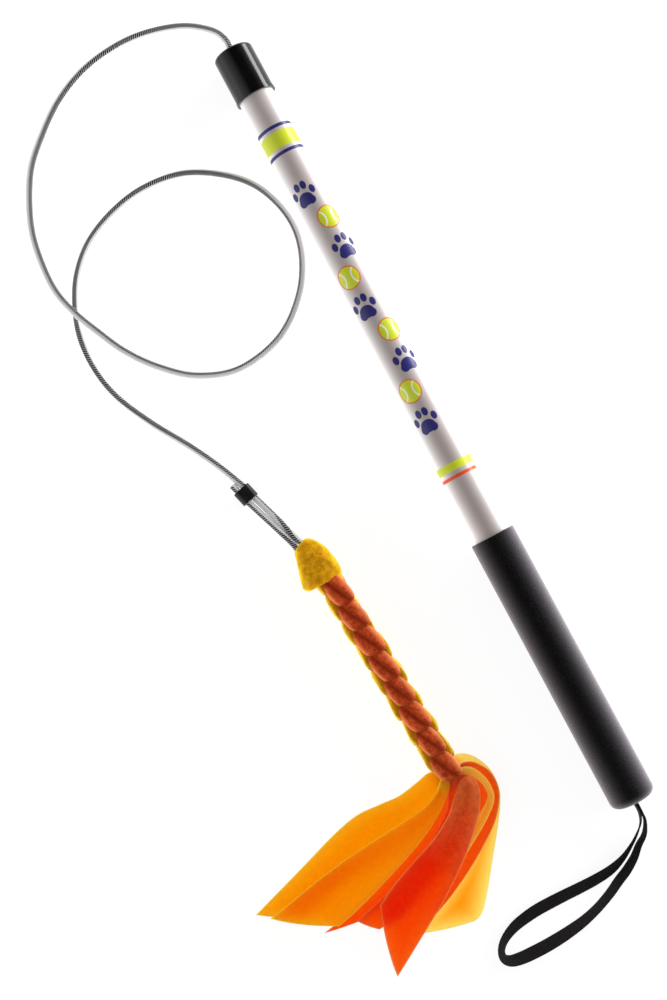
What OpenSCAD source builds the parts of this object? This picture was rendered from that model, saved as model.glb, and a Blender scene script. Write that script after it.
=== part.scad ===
// Dog flirt pole: a hand-held pole with an elastic cord and a braided fleece lure, lying on a floor.
// The pole runs along Y with its tip towards +Y, and the origin is the middle of the hand grip.

/* [Tube] */
// Outside diameter of the tube
tube_od = 26.7; // [20:0.1:34]
// Wall of the tube
tube_wall = 2.9; // [1.5:0.1:4]
// Length of the tube
tube_l = 597.5; // [450:0.5:900]

/* [Tip cap] */
// Length of the tip cap
cap_l = 38; // [20:0.5:60]
// Side wall of the tip cap
cap_wall = 1.5; // [1:0.1:2.5]
// End wall of the tip cap
cap_end_t = 2.5; // [1.5:0.1:5]
// Radius of the cap's rounded end edge
cap_round = 2.4; // [0.5:0.1:4]
// How far the rolled rim of the cap stands out
cap_rim = 0.4; // [0.1:0.1:1]
// Width of the rolled rim of the cap
cap_rim_l = 2; // [1:0.5:5]

/* [Grip] */
// Outside diameter of the foam grip
grip_od = 33; // [30:0.1:42]
// Length of the foam grip
grip_l = 210; // [120:1:300]
// Thickness of the foam over the handle end
grip_end_t = 5; // [3:0.5:12]
// Radius of the grip's rounded end
grip_round = 6; // [2:0.5:10]
// Radius of the grip's upper edge
grip_edge = 0.8; // [0.3:0.1:2]

/* [End plug] */
// Thickness of the plug's flange
plug_flange_t = 2.5; // [1.5:0.1:5]
// Depth of the recess that holds the knot and the strap pin
plug_recess = 24; // [22:0.5:40]
// Thickness of the web that the cord pulls on
plug_web = 6; // [3:0.5:12]
// Wall round the recess
plug_wall = 2.2; // [1.2:0.1:3]
// Diameter of the stop washer
washer_od = 15; // [12:0.5:16]
// Thickness of the stop washer
washer_t = 1.5; // [0.8:0.1:2]
// Diameter of the stopper knot
knot_d = 11; // [8:0.5:12]
// Diameter of the strap pin
pin_d = 4; // [2.5:0.1:5]
// Distance from the flange face to the strap pin
pin_in = 6; // [4:0.5:8]

/* [Cord] */
// Diameter of the elastic cord
cord_d = 4.8; // [3:0.1:5.4]
// Radius of the eye at the end of the cord, on the middle of the cord
eye_r = 7.5; // [6:0.1:8]
// Distance from the pole's axis to the eye of the cord, as the cord lies
eye_out = 123.5; // [105:0.5:180]
// Length of the cord's cut tail past the crimp sleeve
cord_tail = 6; // [2:0.5:20]

/* [Crimp sleeve] */
// Length of the crimp sleeve
sleeve_l = 10.7; // [6:0.1:18]
// Wall of the crimp sleeve
sleeve_wall = 1.6; // [0.8:0.1:2]
// Distance from the eye's middle to the sleeve's middle
sleeve_out = 66; // [50:1:80]

/* [Lure] */
// Width of the lure's head
head_w = 29; // [26:0.5:36]
// Thickness of the lure's head
head_t = 19; // [16:0.5:20]
// Width of the head's mouth
mouth_w = 14; // [12:0.5:20]
// Length of the braid
braid_l = 162; // [80:1:240]
// Widest radius of the braid
braid_r = 9.3; // [7:0.1:9.5]
// Depth of the hollows between the braid's lobes
lobe_depth = 1.6; // [0.5:0.1:2.5]
// Length of one lobe of the braid
lobe_pitch = 21.3; // [12:0.1:30]
// Thickness of the fleece
fleece_t = 1.9; // [1:0.1:2.2]
// Length of the longest tail
tail_l = 170; // [110:1:220]

/* [Wrist strap] */
// Width of the webbing
strap_w = 9.5; // [6:0.5:12]
// Thickness of the webbing
strap_t = 1.3; // [0.8:0.1:1.4]
// Reach of the strap's loop from the grip, as it lies
strap_reach = 132; // [100:1:170]

/* [Clearances] */
// Push fit between a sleeve or plug and the tube, each side
push_gap = 0.05; // [0.01:0.01:0.1]
// Clearance of the cord in its holes, each side
cord_gap = 0.1; // [0.05:0.01:0.3]
// Gap between soft pieces
soft_gap = 0.3; // [0.2:0.05:0.6]

/* [Hidden] */
$fn = 64;

white = [0.93, 0.93, 0.92];
black = [0.06, 0.06, 0.06];
steel = [0.65, 0.65, 0.67];
cord_white = [0.82, 0.82, 0.8];
yellow = [1, 0.75, 0.05];
orange = [0.92, 0.36, 0.08];

// Stations along the pole
end_y = -grip_l / 2;
plug_y = end_y + grip_end_t;
tube_y = plug_y + plug_flange_t;
tube_tip_y = tube_y + tube_l;
tip_y = tube_tip_y + cap_end_t;
floor_z = -grip_od / 2;

tube_r = tube_od / 2;
bore_r = tube_r - tube_wall;
cap_bore_r = tube_r + push_gap;
cap_r = cap_bore_r + cap_wall;
plug_r = bore_r - push_gap;
recess_r = plug_r - plug_wall;
web_y = plug_y + plug_recess;
pin_y = plug_y + pin_in;
washer_y = web_y - washer_t;
knot_seat = 0.4;
knot_y = washer_y - knot_d / 2 + knot_seat;

cord_r = cord_d / 2;
cord_z = floor_z + cord_r + 0.1;
cord_sides = 8;

// The cord swings about the middle of its rounded end, just clear of the cap
swing_y = tip_y + cord_r + 0.6;

// The eye of the cord, round the post in the lure's head
braid_foot_y = -31;
lure_at = [-eye_out, braid_foot_y + head_t + braid_l, floor_z + head_t / 2 + 0.1];
lure_turn = 6;
loop_turn = 15;
leg_x = cord_r + 0.2;
sleeve_r = cord_r + cord_gap + sleeve_wall;
sleeve_z = floor_z + sleeve_r + 0.1 - lure_at.z;

// Point on the cord's loop, in the part's frame
function loop_point(p) = [
  lure_at.x + p.x * cos(loop_turn) - p.y * sin(loop_turn),
  lure_at.y + p.x * sin(loop_turn) + p.y * cos(loop_turn),
  lure_at.z + p.z
];

// Route of the free cord from the cap, down to the floor, once round over itself and to the sleeve:
// place from the eye, drawn out with the pole, and rise above lying on the floor
route_span = [123.5, 352.5];
draw_out = [eye_out / route_span.x, (tip_y - lure_at.y) / route_span.y];
cord_route = concat(
  [[0, swing_y, 0], [0, swing_y + 8, 0]],
  [
    for (p = [
      [-5, 375, 11], [-22, 390, 6], [-48, 400, 1.5], [-74, 402, 0], [-102, 397, 0],
      [-128, 385, 0], [-150, 368, 0], [-168, 350, 0], [-181, 328, 0], [-190, 305, 0],
      [-194, 280, 1], [-194, 258, 4], [-189, 238, 5.6], [-181, 219, 4.4], [-170, 197, 1.2],
      [-154, 176, 0], [-132, 157, 0], [-102, 147, 0], [-66, 154, 0], [-38, 176, 0],
      [-22, 204, 0], [-19, 231, 0], [-28, 259, 0], [-46, 279, 0], [-72, 294, 0],
      [-102, 298, 0], [-130, 293, 0], [-156, 281, 0], [-175, 263, 0], [-187, 242, 0],
      [-194, 220, 0], [-195, 195, 0], [-190, 170, 0], [-177, 142, 0], [-161, 115, 0],
      [-149, 92, 0.5]
    ]) [p.x * draw_out.x, lure_at.y + p.y * draw_out.y, cord_z + p.z]
  ],
  [for (y = [sleeve_out + sleeve_l / 2, sleeve_out + soft_gap]) loop_point([leg_x, y, sleeve_z])]
);

// Right half of the loop, from the sleeve to the bottom of the eye
loop_half = [
  [leg_x, sleeve_out, sleeve_z], [leg_x, sleeve_out - sleeve_l / 2, sleeve_z],
  for (p = [[0.73, 0.7], [0.55, 0.35], [0.39, 0.05]]) [leg_x, sleeve_out * p.x, sleeve_z * p.y],
  for (p = [[0.43, 2.5], [0.71, 1.67], [0.93, 0.8]]) [eye_r * p.x, eye_r * p.y, 0],
  for (a = [0:-22.5:-90]) [eye_r * cos(a), eye_r * sin(a), 0]
];
loop_route = concat(
  loop_half,
  [for (i = [len(loop_half) - 2:-1:0]) [-loop_half[i].x, loop_half[i].y, loop_half[i].z]],
  [[-leg_x - 0.3, sleeve_out + sleeve_l / 2 + cord_tail, sleeve_z]]
);

// The strap swings about a point just outside the grip's end. Lean is its turn from standing on edge,
// and strap_rest the height that keeps its lower edge on the floor
function strap_rest(lean) = floor_z + 0.3 + strap_w / 2 * cos(lean) + strap_t / 2 * sin(lean);
leg_gap = strap_t / 2 + 0.1;
knuckle_r = leg_gap + strap_t / 2 + 0.2;
knuckle_w = strap_w + 0.4;
strap_out = knuckle_r + 0.6;

// Route of the strap outside the grip: place from the grip's end, height and lean
strap_span = 132;
strap_draw = strap_reach / strap_span;
strap_route = concat(
  [[-leg_gap, -strap_out, 0, 0], [-leg_gap, -9, -1.5, 0], [-3.2, -16, -4.5, 8]],
  [
    for (p = [
      [-9, -22.5, 18], [-20, -28, 30], [-38, -32, 42], [-62, -34, 45], [-86, -34, 45],
      [-106, -35, 40], [-119, -38, 30], [-129, -45, 20], [-132, -54, 15], [-126, -61, 20],
      [-113, -63, 32], [-92, -61.5, 42], [-70, -58, 45], [-52, -53, 42], [-36, -47, 35],
      [-22, -39.5, 28], [-12, -32, 18]
    ])
      let (from_grip = -4.5 + 0.36 * (p.y + 16) - 0.12 * abs(p.x))
      [p.x * strap_draw, p.y * strap_draw, max(strap_rest(p.z), from_grip), p.z]
  ],
  [[-4, -24.5, -8, 8], [0.4, -16, -4.5, 0], [leg_gap, -9, -1.5, 0], [leg_gap, -strap_out, 0, 0]]
);

// Route of the strap inside the grip: from the slit, round the pin and back
root_r = pin_d / 2 + 0.4 + strap_t / 2;
root_y = end_y - strap_out + knuckle_r + soft_gap;
root_route = concat(
  [[-leg_gap, root_y, 0, 0], [-leg_gap, end_y + grip_end_t / 2, 0, 0], [-leg_gap, plug_y, 0, 0]],
  [for (a = [180:-22.5:0]) [root_r * cos(a), pin_y + root_r * sin(a), 0, 0]],
  [[leg_gap, plug_y, 0, 0], [leg_gap, end_y + grip_end_t / 2, 0, 0], [leg_gap, root_y, 0, 0]]
);

// The lure lies along -Y of its own frame, with the eye's middle at its origin
slot_h = cord_d + 1;
slot_low = cord_r + 2.4;
post_r = eye_r - cord_r - 0.6;
pocket_r = eye_r + cord_r + 0.6;
head_top = 13;
head_foot = head_t;
braid_top = -head_foot - soft_gap;
braid_end = braid_top - braid_l;

// How far the head's foot and the braid's upper end lie to the right of the eye
head_lean = 1.5;
braid_lean = 7;

// Heights of the four layers of tails: at the braid and at the tips, and how far they take to fall
layer_root = [-7.9, -3.9, 0.1, 4.1];
layer_tip = [-8.45, -6.2, -3.95, -1.7];
tail_fall = 150;
tail_lift = 1.2;

// Each tail: its left and right edges from the braid's end, its layer and its colour
tail_span = 170;
tails = [
  [
    [
      [-4.8, 0], [-9.5, -0.4], [-15, 4], [-23, 8], [-39, 8.5], [-53, 11], [-72, 14], [-94, 11.5],
      [-120, 6], [-169, -4]
    ],
    [[-1.8, -2.6], [-4.5, -6], [-10, -9], [-24, -15], [-48, -20], [-80, -25], [-108, -29], [-132, -30]],
    0, yellow
  ],
  [
    [[-8, 0], [-11, -1.5], [-17, -3.5], [-29, -6.5], [-49, -7], [-77, -6], [-107, -6.5], [-161, -11]],
    [[-3.8, 0], [-5, -3], [-9.5, -8], [-22, -16], [-47, -26], [-82, -35], [-108, -40], [-124, -42]],
    3, yellow
  ],
  [
    [
      [3.4, -3.4], [7.5, -6], [13, -10.5], [15.5, -19], [12.5, -29], [2, -37], [-14, -47], [-35, -60], [-56, -72],
      [-75, -81]
    ],
    [
      [6.4, 0], [10.5, 3], [15, 5.5], [21.5, 0.5], [25, -11], [24, -23], [19.5, -33], [9, -46], [-5, -61],
      [-33, -91]
    ],
    0, yellow
  ],
  [
    [[0.6, 0], [2, -5], [4.5, -12], [4.5, -20], [0, -27], [-10, -34], [-24, -44], [-41, -55]],
    [[4.8, 0], [9, -2.5], [14.4, -8.6], [16, -20], [13.5, -28.5], [2, -36.5], [-13, -46.5], [-34, -61]],
    2, yellow
  ],
  [
    [[-2.2, 0], [-3.5, -5], [-8.5, -12], [-17, -20], [-34, -28], [-55, -33.5], [-75, -39], [-92, -45.5]],
    [
      [2.2, 0], [7, -5], [11, -14], [8, -23], [-1.5, -34], [-20, -48.5], [-42, -62], [-61, -72],
      [-109.5, -93.5]
    ],
    3, orange
  ],
  [
    [[-8.2, 0], [-12, -7], [-24, -15], [-47, -24], [-78, -31], [-108, -37], [-136, -41]],
    [[-4, 0], [-7, -10], [-18, -20], [-40, -31], [-66, -40], [-92, -46], [-111, -47]],
    1, orange
  ],
  [
    [[-8.8, 0], [-10.5, -8], [-20, -20], [-42, -32], [-68, -40], [-92, -44], [-112, -46]],
    [[-4.6, 0], [-5, -12], [-12, -25], [-30, -40], [-55, -52], [-80, -60], [-102, -60]],
    2, orange
  ],
  [
    [[5, -3.2], [7.2, -9], [7, -18], [3, -27], [-6, -36], [-20, -47], [-38, -58], [-62, -66]],
    [
      [8.8, 0], [14, 1.5], [20, -2], [24.5, -12], [24, -23], [19.5, -32], [8, -43], [-9, -53], [-28, -62],
      [-48, -69.5], [-68, -75]
    ],
    1, orange
  ]
];

// Catmull-Rom curve through a list of points of any size
function spline_at(p, i, t) =
  let (
    a = p[max(i - 1, 0)],
    b = p[i],
    c = p[i + 1],
    d = p[min(i + 2, len(p) - 1)]
  )
  (2 * b + (c - a) * t + (2 * a - 5 * b + 4 * c - d) * t * t + (3 * b - a - 3 * c + d) * t * t * t) / 2;
function spline(p, steps) = [
  for (i = [0:len(p) - 2]) for (k = [0:steps - 1]) spline_at(p, i, k / steps),
  p[len(p) - 1]
];

// Distance along a list of points, and n points spaced evenly along it
function plan(v) = [for (i = [0:min(2, len(v) - 1)]) v[i]];
function along(p, i = 0, d = 0, out = []) =
  i == len(p) ? out
  : let (e = i == 0 ? 0 : d + norm(plan(p[i]) - plan(p[i - 1]))) along(p, i + 1, e, concat(out, [e]));
function even(p, n) =
  let (s = along(p), whole = s[len(s) - 1])
  [
    for (k = [0:n - 1]) [
      for (j = [0:len(p[0]) - 1]) lookup(whole * k / (n - 1), [for (i = [0:len(p) - 1]) [s[i], p[i][j]]])
    ]
  ];
function unit(v) = v / norm(v);
function heading(p, i) = unit(plan(p[min(i + 1, len(p) - 1)]) - plan(p[max(i - 1, 0)]));

// Closed skin over rings of equal and even size, with a face of narrow strips at each end
module skin(rings) {
  m = len(rings[0]);
  n = len(rings);
  sides = [
    for (i = [0:n - 2]) for (j = [0:m - 1])
      let (a = i * m + j, b = i * m + (j + 1) % m) each [[a, a + m, b], [b, a + m, b + m]]
  ];
  first = [for (j = [0:m / 2 - 2]) each [[j, j + 1, m - 1 - j], [j + 1, m - 2 - j, m - 1 - j]]];
  last = [for (f = first) [for (k = [2, 1, 0]) (n - 1) * m + f[k]]];
  polyhedron([for (r = rings) each r], concat(sides, first, last));
}

// Round tube along a route, with a rounded start where dome is true
module round_tube(route, r, rings, dome = false) {
  p = even(spline(route, 6), rings);
  function ring(i, back = 0, rr = r) =
    let (t = heading(p, i), side = unit(cross([0, 0, 1], t)), up = cross(t, side))
    [
      for (k = [0:cord_sides - 1])
        let (a = -90 + 360 * k / cord_sides) p[i] - back * t + rr * (cos(a) * side + sin(a) * up)
    ];
  skin(concat(
    dome ? [for (a = [75, 50, 25]) ring(0, r * sin(a), r * cos(a))] : [],
    [for (i = [0:rings - 1]) ring(i)]
  ));
}

// Flat band along a route whose fourth value is the band's lean from standing on edge
module band(route, w, t, rings) {
  p = even(spline(route, 6), rings);
  function ring(i) =
    let (
      h = heading(p, i),
      out = unit([h.y, -h.x, 0]),
      wide = cos(p[i][3]) * [0, 0, 1] + sin(p[i][3]) * out,
      thick = unit(cross(wide, h))
    )
    [
      for (c = [[-1, -1], [-1, 1], [1, 1], [1, -1]]) plan(p[i]) + c.x * w / 2 * wide + c.y * t / 2 * thick
    ];
  skin([for (i = [0:rings - 1]) ring(i)]);
}

// Turns a shape that was revolved about Z onto the pole's axis, with its Z along +Y
module on_pole(y) {
  translate([0, y, 0]) rotate([-90, 0, 0]) children();
}

// Half profile of a closed cylinder end: radius, length and rounded lower edge
module round_end(r, l, edge) {
  translate([0, edge]) square([r, l - edge]);
  square([r - edge, edge]);
  translate([r - edge, edge]) intersection() {
    circle(edge);
    translate([-edge, -edge]) square([2 * edge, edge]);
  }
}

// Frames of the cord's loop and of the lure, both about the eye's middle
module in_loop() {
  translate(lure_at) rotate([0, 0, loop_turn]) children();
}

module in_lure() {
  translate(lure_at) rotate([0, 0, lure_turn]) children();
}

module pole_tube() {
  color(white) on_pole(tube_y) difference() {
    cylinder(r = tube_r, h = tube_l);
    translate([0, 0, -1]) cylinder(r = bore_r, h = tube_l + 2);
  }
}

module tip_cap() {
  color(black) translate([0, tip_y, 0]) rotate([90, 0, 0]) difference() {
    union() {
      rotate_extrude() round_end(cap_r, cap_l, cap_round);
      translate([0, 0, cap_l - cap_rim_l]) cylinder(r = cap_r + cap_rim, h = cap_rim_l);
    }
    translate([0, 0, cap_end_t]) cylinder(r = cap_bore_r, h = cap_l);
    translate([0, 0, -1]) cylinder(r = cord_r + cord_gap, h = cap_end_t + 2);
  }
}

module foam_grip() {
  slit_t = 2 * (leg_gap + strap_t / 2) + 0.6;
  slit_w = strap_w + 0.6;
  color(black) difference() {
    on_pole(end_y) difference() {
      union() {
        rotate_extrude() round_end(grip_od / 2, grip_l - grip_edge, grip_round);
        translate([0, 0, grip_l]) mirror([0, 0, 1]) rotate_extrude()
          round_end(grip_od / 2, 2 * grip_edge, grip_edge);
      }
      translate([0, 0, grip_end_t]) cylinder(r = tube_r + push_gap, h = grip_l);
    }
    translate([-slit_t / 2, end_y - 1, -slit_w / 2]) cube([slit_t, grip_end_t + 2, slit_w]);
  }
}

module end_plug() {
  color(black) on_pole(plug_y) difference() {
    union() {
      cylinder(r = tube_r, h = plug_flange_t);
      cylinder(r = plug_r, h = plug_recess + plug_web);
    }
    translate([0, 0, -1]) cylinder(r = recess_r, h = plug_recess + 1);
    cylinder(r = cord_r + cord_gap, h = plug_recess + plug_web + 1);
    translate([0, plug_r + 1, pin_in]) rotate([90, 0, 0])
      cylinder(r = pin_d / 2 + push_gap, h = 2 * plug_r + 2);
  }
}

module stop_washer() {
  color(steel) on_pole(washer_y) difference() {
    cylinder(d = washer_od, h = washer_t);
    translate([0, 0, -1]) cylinder(r = cord_r + cord_gap, h = washer_t + 2);
  }
}

module cord_knot() {
  color(cord_white) on_pole(knot_y) difference() {
    sphere(d = knot_d);
    translate([-knot_d, -knot_d, knot_d / 2 - knot_seat]) cube([2 * knot_d, 2 * knot_d, knot_d]);
  }
}

module cord_inner() {
  color(cord_white) on_pole(washer_y) cylinder(r = cord_r, h = swing_y - cord_r - cord_gap - washer_y);
}

module strap_pin() {
  reach = sqrt(plug_r * plug_r - pin_d * pin_d / 4);
  color(steel) translate([0, pin_y, -reach]) cylinder(d = pin_d, h = 2 * reach);
}

module strap_root() {
  color(black) band(root_route, strap_w, strap_t, 32);
}

module wrist_strap() {
  route = [for (p = strap_route) [p.x, end_y + p.y, p.z, p[3]]];
  color(black) union() {
    band(route, strap_w, strap_t, 56);
    translate([0, end_y - strap_out, -knuckle_w / 2]) cylinder(r = knuckle_r, h = knuckle_w);
  }
}

module cord_line() {
  // Least gap of the cord to itself, measured on points 4 mm apart
  p = even(spline(cord_route, 6), 240);
  echo(cord_gap_to_itself = min([for (i = [0:219]) for (j = [i + 20:239]) norm(p[i] - p[j])]) - cord_d);
  color(cord_white) round_tube(cord_route, cord_r, 80, dome = true);
}

module crimp_sleeve() {
  bore = cord_r + cord_gap;
  color(black) in_loop() translate([0, sleeve_out + sleeve_l / 2, sleeve_z]) rotate([90, 0, 0]) difference() {
    union() {
      for (x = [-leg_x, leg_x]) translate([x, 0, 0]) cylinder(r = sleeve_r, h = sleeve_l);
      translate([-leg_x, -sleeve_r, 0]) cube([2 * leg_x, 2 * sleeve_r, sleeve_l]);
    }
    for (x = [-leg_x, leg_x]) translate([x, 0, -1]) cylinder(r = bore, h = sleeve_l + 2);
    translate([-leg_x, -bore, -1]) cube([2 * leg_x, 2 * bore, sleeve_l + 2]);
  }
}

module cord_loop() {
  color(cord_white) in_loop() round_tube(loop_route, cord_r, 44);
}

module lure_head() {
  mouth_r = 6;
  color(yellow) in_lure() {
    difference() {
      hull() {
        for (s = [-1, 1]) {
          translate([s * (mouth_w / 2 - mouth_r), head_top - mouth_r, 0]) sphere(r = mouth_r, $fn = 32);
          translate([head_lean + s * (head_w - head_t) / 2, -head_foot + head_t / 2, 0])
            sphere(d = head_t, $fn = 32);
        }
      }
      translate([-head_w, -slot_low, -slot_h / 2]) cube([2 * head_w, 2 * head_top, slot_h]);
      translate([0, 0, -slot_h / 2]) cylinder(r = pocket_r, h = slot_h);
    }
    translate([0, 0, -slot_h / 2 - 0.5]) cylinder(r = post_r, h = slot_h + 1);
  }
}

// One column of the square braid: a quarter of the round, swelling and shrinking in slanted lobes
module strand(facing, shift) {
  points = 7;
  slant = 0.55;
  rings = round(braid_l / lobe_pitch * 5);
  apart = soft_gap / 1.4;
  function middle(y) = apart * cos(facing) + braid_lean * (y - braid_end) / braid_l;
  function swell(y, a) = abs(sin(180 * (y / lobe_pitch + shift + slant * a / 90)));
  function ring(y) = concat(
    [[middle(y), y, apart * sin(facing)]],
    [
      for (k = [0:points - 1])
        let (
          a = 90 * k / (points - 1) - 45,
          r = braid_r - lobe_depth * (1 - swell(braid_top - y, a))
        )
        [middle(y) + r * cos(facing + a), y, apart * sin(facing) + r * sin(facing + a)]
    ]
  );
  in_lure() skin([for (i = [0:rings]) ring(braid_top - braid_l * i / rings)]);
}

module strand_front() {
  color(orange) strand(90, 0);
}

module strand_right() {
  color(yellow) strand(0, 0.5);
}

module strand_back() {
  color(orange) strand(270, 0);
}

module strand_left() {
  color(yellow) strand(180, 0.5);
}

// One free tail: a strip of fleece between two edges, arched near the braid and flat at its slanted end
module tail(spec) {
  across = 6;
  stations = 18;
  tail_gap = 2 * soft_gap;
  layer = spec[2];
  edges = [for (e = [spec[0], spec[1]]) even(spline(e, 6), stations + 1)];
  function drawn(p) = p * (1 + (tail_l / tail_span - 1) * min(1, norm(p) / tail_l * 5));
  function height(c, v) =
    let (
      d = min(1, norm(c) / tail_fall),
      ease = d * d * (3 - 2 * d),
      arch = tail_lift * sin(180 * min(1, d * 2)) * 4 * v * (1 - v)
    )
    layer_root[layer] + (layer_tip[layer] - layer_root[layer]) * ease + arch;
  function point(i, v, dz) =
    let (c = drawn((1 - v) * edges[0][i] + v * edges[1][i]))
    [c.x, braid_end - tail_gap + c.y, height(c, v) + dz];
  function ring(i) = concat(
    [for (k = [across:-1:0]) point(i, k / across, fleece_t / 2)],
    [for (k = [0:across]) point(i, k / across, -fleece_t / 2)]
  );
  color(spec[3]) in_lure() skin([for (i = [0:stations]) ring(i)]);
}

module tail_1() {
  tail(tails[0]);
}

module tail_2() {
  tail(tails[1]);
}

module tail_3() {
  tail(tails[2]);
}

module tail_4() {
  tail(tails[3]);
}

module tail_5() {
  tail(tails[4]);
}

module tail_6() {
  tail(tails[5]);
}

module tail_7() {
  tail(tails[6]);
}

module tail_8() {
  tail(tails[7]);
}

pole_tube();
tip_cap();
foam_grip();
end_plug();
stop_washer();
cord_knot();
cord_inner();
strap_pin();
strap_root();
wrist_strap();
cord_line();
crimp_sleeve();
cord_loop();
lure_head();
strand_front();
strand_right();
strand_back();
strand_left();
tail_1();
tail_2();
tail_3();
tail_4();
tail_5();
tail_6();
tail_7();
tail_8();
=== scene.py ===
import bmesh
import bpy
import numpy as np
from mathutils import Matrix


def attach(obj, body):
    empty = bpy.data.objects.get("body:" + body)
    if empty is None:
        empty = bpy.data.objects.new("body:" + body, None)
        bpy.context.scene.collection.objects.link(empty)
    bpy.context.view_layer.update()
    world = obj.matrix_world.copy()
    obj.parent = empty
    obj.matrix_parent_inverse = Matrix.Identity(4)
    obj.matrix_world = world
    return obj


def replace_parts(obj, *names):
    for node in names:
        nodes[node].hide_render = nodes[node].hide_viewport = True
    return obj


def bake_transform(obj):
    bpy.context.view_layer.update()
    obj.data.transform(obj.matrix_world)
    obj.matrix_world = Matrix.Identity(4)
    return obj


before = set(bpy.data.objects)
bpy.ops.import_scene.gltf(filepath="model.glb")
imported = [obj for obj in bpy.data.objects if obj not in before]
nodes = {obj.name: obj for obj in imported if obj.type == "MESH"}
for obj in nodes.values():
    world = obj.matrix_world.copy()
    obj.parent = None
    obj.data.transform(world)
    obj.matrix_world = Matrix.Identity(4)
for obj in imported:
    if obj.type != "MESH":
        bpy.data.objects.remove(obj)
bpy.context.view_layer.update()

MM = 0.001

# The pole: its handle end, the tube, the cord's way out of the cap, and the floor under the grip
GRIP_END = -105.0
TUBE_R = 13.35
TUBE_TIP = 499.0
CORD_OUT = 513.5
FLOOR = -16.5

# The cord: its radius, the length of one pick of its cover, and the yarns that wind each way round it
CORD_R = 2.4
PICK = 1.7
YARNS = 8

# The strap: the webbing, the spacing of its picks and ends, half the distance between its legs, where it starts
# outside the grip and swings freely, and its turn round the pin
STRAP_W = 9.5
STRAP_T = 1.3
WEFT = 1.1
WARP = 1.4
LEG_X = 0.75
STRAP_OUT = 2.2
PIN_Y = -92.5
PIN_TURN_R = 3.05

# The lure: the eye's middle, the turns of the lure and of the cord's loop about it, the braid and the tails
LURE_AT = np.array([-123.5, 150.0, -6.9])
LURE_TURN = 6.0
LOOP_TURN = 15.0
SLEEVE_Z = -5.4
BRAID_TOP = -19.3
BRAID_L = 162.0
BRAID_LEAN = 7.0
LOBE_PITCH = 20.6
UNDER_EYE = -10.2
FLEECE_T = 1.9
TAIL_TOP = BRAID_TOP - BRAID_L - 0.6
LURE_FLOOR = FLOOR - LURE_AT[2] + 0.15
CURVE_STEPS = 24


def through(points, steps=16):
    """Curve through points: each span is the cubic that leaves a point along the chord of its two
    neighbours and comes to the next point in the same way."""
    p = np.asarray(points, float)
    p = np.vstack([p[:1], p, p[-1:]])
    a, b, c, d = p[:-3, None], p[1:-2, None], p[2:-1, None], p[3:, None]
    t = (np.arange(steps) / steps)[None, :, None]
    spans = b + t * (c - a) / 2 + t**2 * (a - 2.5 * b + 2 * c - d / 2) + t**3 * (1.5 * (b - c) + (d - a) / 2)
    return np.vstack([spans.reshape(-1, p.shape[1]), p[-1:]])


def evenly(line, n):
    """The line at n places an equal length apart, and the length at each."""
    steps = np.linalg.norm(np.diff(line[:, :3], axis=0), axis=1)
    s = np.concatenate([[0], np.cumsum(steps)])
    at = np.linspace(0, s[-1], n)
    return np.stack([np.interp(at, s, column) for column in line.T], 1), at


def unit(v):
    """Vectors divided by their own lengths."""
    return v / np.linalg.norm(v, axis=-1, keepdims=True)


def placed(points, turn):
    """Points of the lure's or the loop's own frame, turned about Z and moved to the eye's middle."""
    a = np.radians(turn)
    spin = np.array([[np.cos(a), -np.sin(a), 0], [np.sin(a), np.cos(a), 0], [0, 0, 1]])
    return points @ spin.T + LURE_AT


def piece(name, grids, finish, closed=False, ends=False, uv=None):
    """One mesh over grids of points (grid, along, across, xyz): a quad between each four neighbours.
    closed joins the last column to the first, and ends closes the first and last rows between the
    columns' two halves. uv holds a pair of numbers for each point, with one more column where closed."""
    grids = np.asarray(grids, float)
    grids = grids[None] if grids.ndim == 3 else grids
    g, n, m, _ = grids.shape
    i, j = np.meshgrid(np.arange(n - 1), np.arange(m if closed else m - 1), indexing="ij")
    k = (j + 1) % m
    quads = np.stack([i * m + j, i * m + k, (i + 1) * m + k, (i + 1) * m + j], -1).reshape(-1, 4)
    if ends:
        j = np.arange(m // 2 - 1)
        first = np.stack([j, m - 1 - j, m - 2 - j, j + 1], -1)
        quads = np.vstack([quads, first, (n - 1) * m + first[:, ::-1]])
    faces = (quads[None] + (np.arange(g) * n * m)[:, None, None]).reshape(-1, 4)
    mesh = bpy.data.meshes.new(name)
    mesh.from_pydata((grids.reshape(-1, 3) * MM).tolist(), [], faces.tolist())
    if uv is not None:
        i, j = np.meshgrid(np.arange(n - 1), np.arange(uv.shape[1] - 1), indexing="ij")
        corners = np.stack([uv[i, j], uv[i, j + 1], uv[i + 1, j + 1], uv[i + 1, j]], 2).reshape(-1, 2)
        corners = np.tile(corners, (g, 1))
        flat = np.zeros((len(mesh.loops), 2))
        flat[: len(corners)] = corners
        mesh.uv_layers.new(name="lay").data.foreach_set("uv", flat.ravel())
    work = bmesh.new()
    work.from_mesh(mesh)
    bmesh.ops.remove_doubles(work, verts=work.verts, dist=1e-7)
    bmesh.ops.recalc_face_normals(work, faces=work.faces)
    work.to_mesh(mesh)
    work.free()
    mesh.shade_smooth()
    made = bpy.data.objects.new(name, mesh)
    bpy.context.scene.collection.objects.link(made)
    mesh.materials.append(finish)
    return made


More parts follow.
